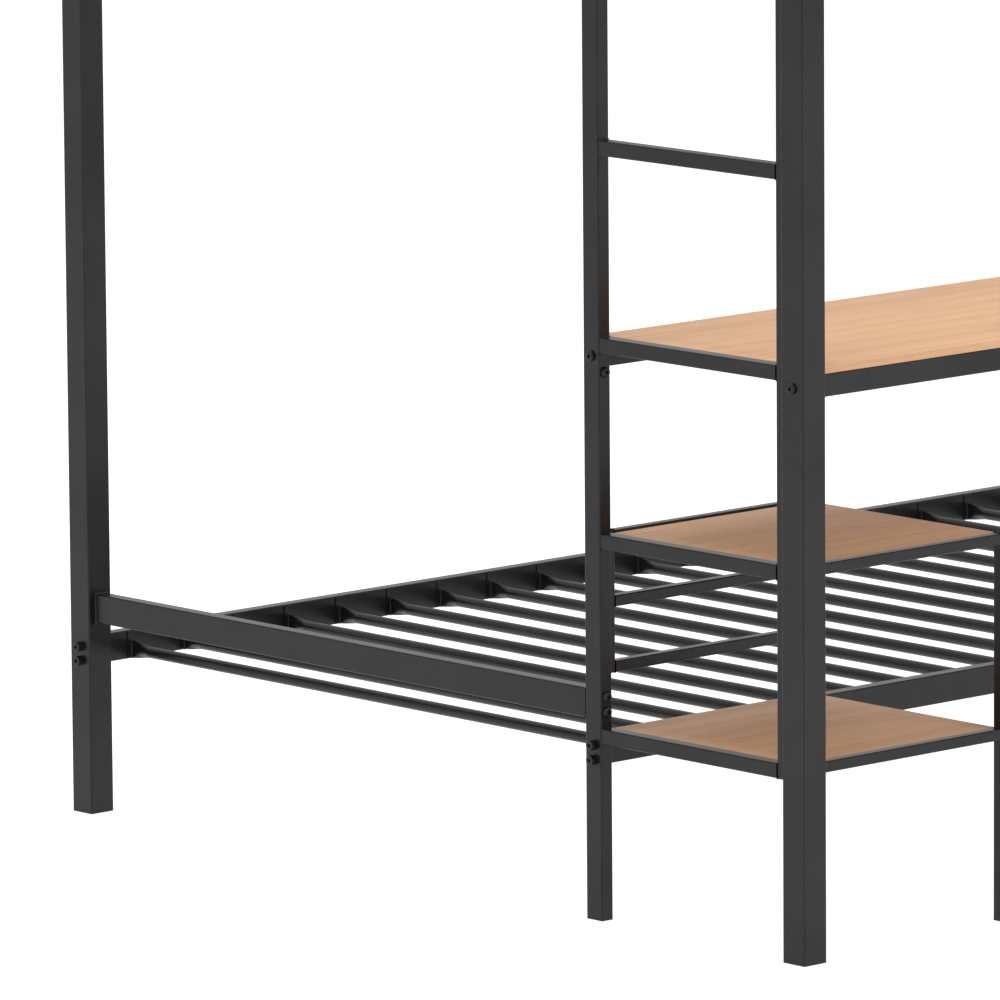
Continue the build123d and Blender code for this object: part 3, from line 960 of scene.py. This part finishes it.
@dataclass
class Studio:
    """A white room with a pale floor, soft light from all round and a soft key on the desk side."""

    camera_place: Colour = (-9.9619, -9.9976, 2.75)
    camera_turn: Colour = (80.56696, 0.42287, -42.40301)
    lens: float = 371.06
    floor_size: float = 240.0
    room_light: float = 0.85
    floor_glow: float = 0.85
    floor_paint: Colour = (0.30, 0.30, 0.30)

    def set_camera(self) -> None:
        """Adds the camera."""
        data = bpy.data.cameras.new("camera")
        data.lens = self.lens
        data.sensor_width = 36.0
        data.clip_start, data.clip_end = 0.5, 500.0
        camera = bpy.data.objects.new("camera", data)
        bpy.context.scene.collection.objects.link(camera)
        camera.location = self.camera_place
        camera.rotation_euler = [math.radians(a) for a in self.camera_turn]
        bpy.context.scene.camera = camera

    def set_room(self) -> None:
        """Sets the white surroundings and the colour transform."""
        scene = bpy.context.scene
        scene.view_settings.view_transform = "Standard"
        scene.view_settings.look = "None"
        world = bpy.data.worlds.new("room")
        scene.world = world
        world.use_nodes = True
        background = world.node_tree.nodes["Background"]
        background.inputs["Color"].default_value = (1.0, 1.0, 1.0, 1.0)
        background.inputs["Strength"].default_value = self.room_light

    def set_floor(self) -> None:
        """Adds the floor: pale paint with a glow that keeps its shadows faint."""
        deselect_all()
        bpy.ops.mesh.primitive_plane_add(size=self.floor_size, location=(0.0, 0.0, 0.0))
        floor = bpy.context.object
        floor.name = "floor"
        sheet = ShaderSheet("floor_paint")
        sheet.feed(sheet.shader, {
            "Base Color": self.floor_paint, "Roughness": 0.9, "Specular IOR Level": 0.0,
            "Emission Color": (1.0, 1.0, 1.0), "Emission Strength": self.floor_glow,
        })
        floor.data.materials.append(sheet.material)

    def add_softbox(self, name: str, place: Colour, target: Colour, size: float, power: float) -> None:
        """Adds a square softbox.

        Args:
            name: the light's name.
            place: where it stands.
            target: the point it faces.
            size: its side.
            power: its power in watts.
        """
        data = bpy.data.lights.new(name, "AREA")
        data.size = size
        data.energy = power
        light = bpy.data.objects.new(name, data)
        bpy.context.scene.collection.objects.link(light)
        light.location = place
        aim = Vector(target) - Vector(place)
        light.rotation_euler = aim.to_track_quat("-Z", "Y").to_euler()

    def set_lights(self) -> None:
        """Adds the weak key from the desk side and the overhead light."""
        self.add_softbox("key", (0.8, -9.0, 4.2), (0.0, 0.0, 0.9), 3.5, 360.0)
        self.add_softbox("top", (0.0, 1.0, 7.0), (0.0, 0.0, 0.7), 5.0, 485.0)


def main() -> None:
    """Loads the frame, sets the studio and builds the bed part by part."""
    logging.basicConfig(level=logging.INFO, format="%(name)s: %(message)s")
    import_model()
    studio = Studio()
    studio.set_camera()
    studio.set_room()
    studio.set_floor()
    studio.set_lights()
    finishes = Finishes()
    for part in (LadderEnd, FarEnd, Decks, GuardRails, Desk, CornerShelves, Fasteners, TubeCaps):
        assembly = part(finishes)
        assembly.build()
        log.info("%s: %d new pieces", part.__name__, len(assembly.made))
    deselect_all()


if __name__ == "__main__":
    main()
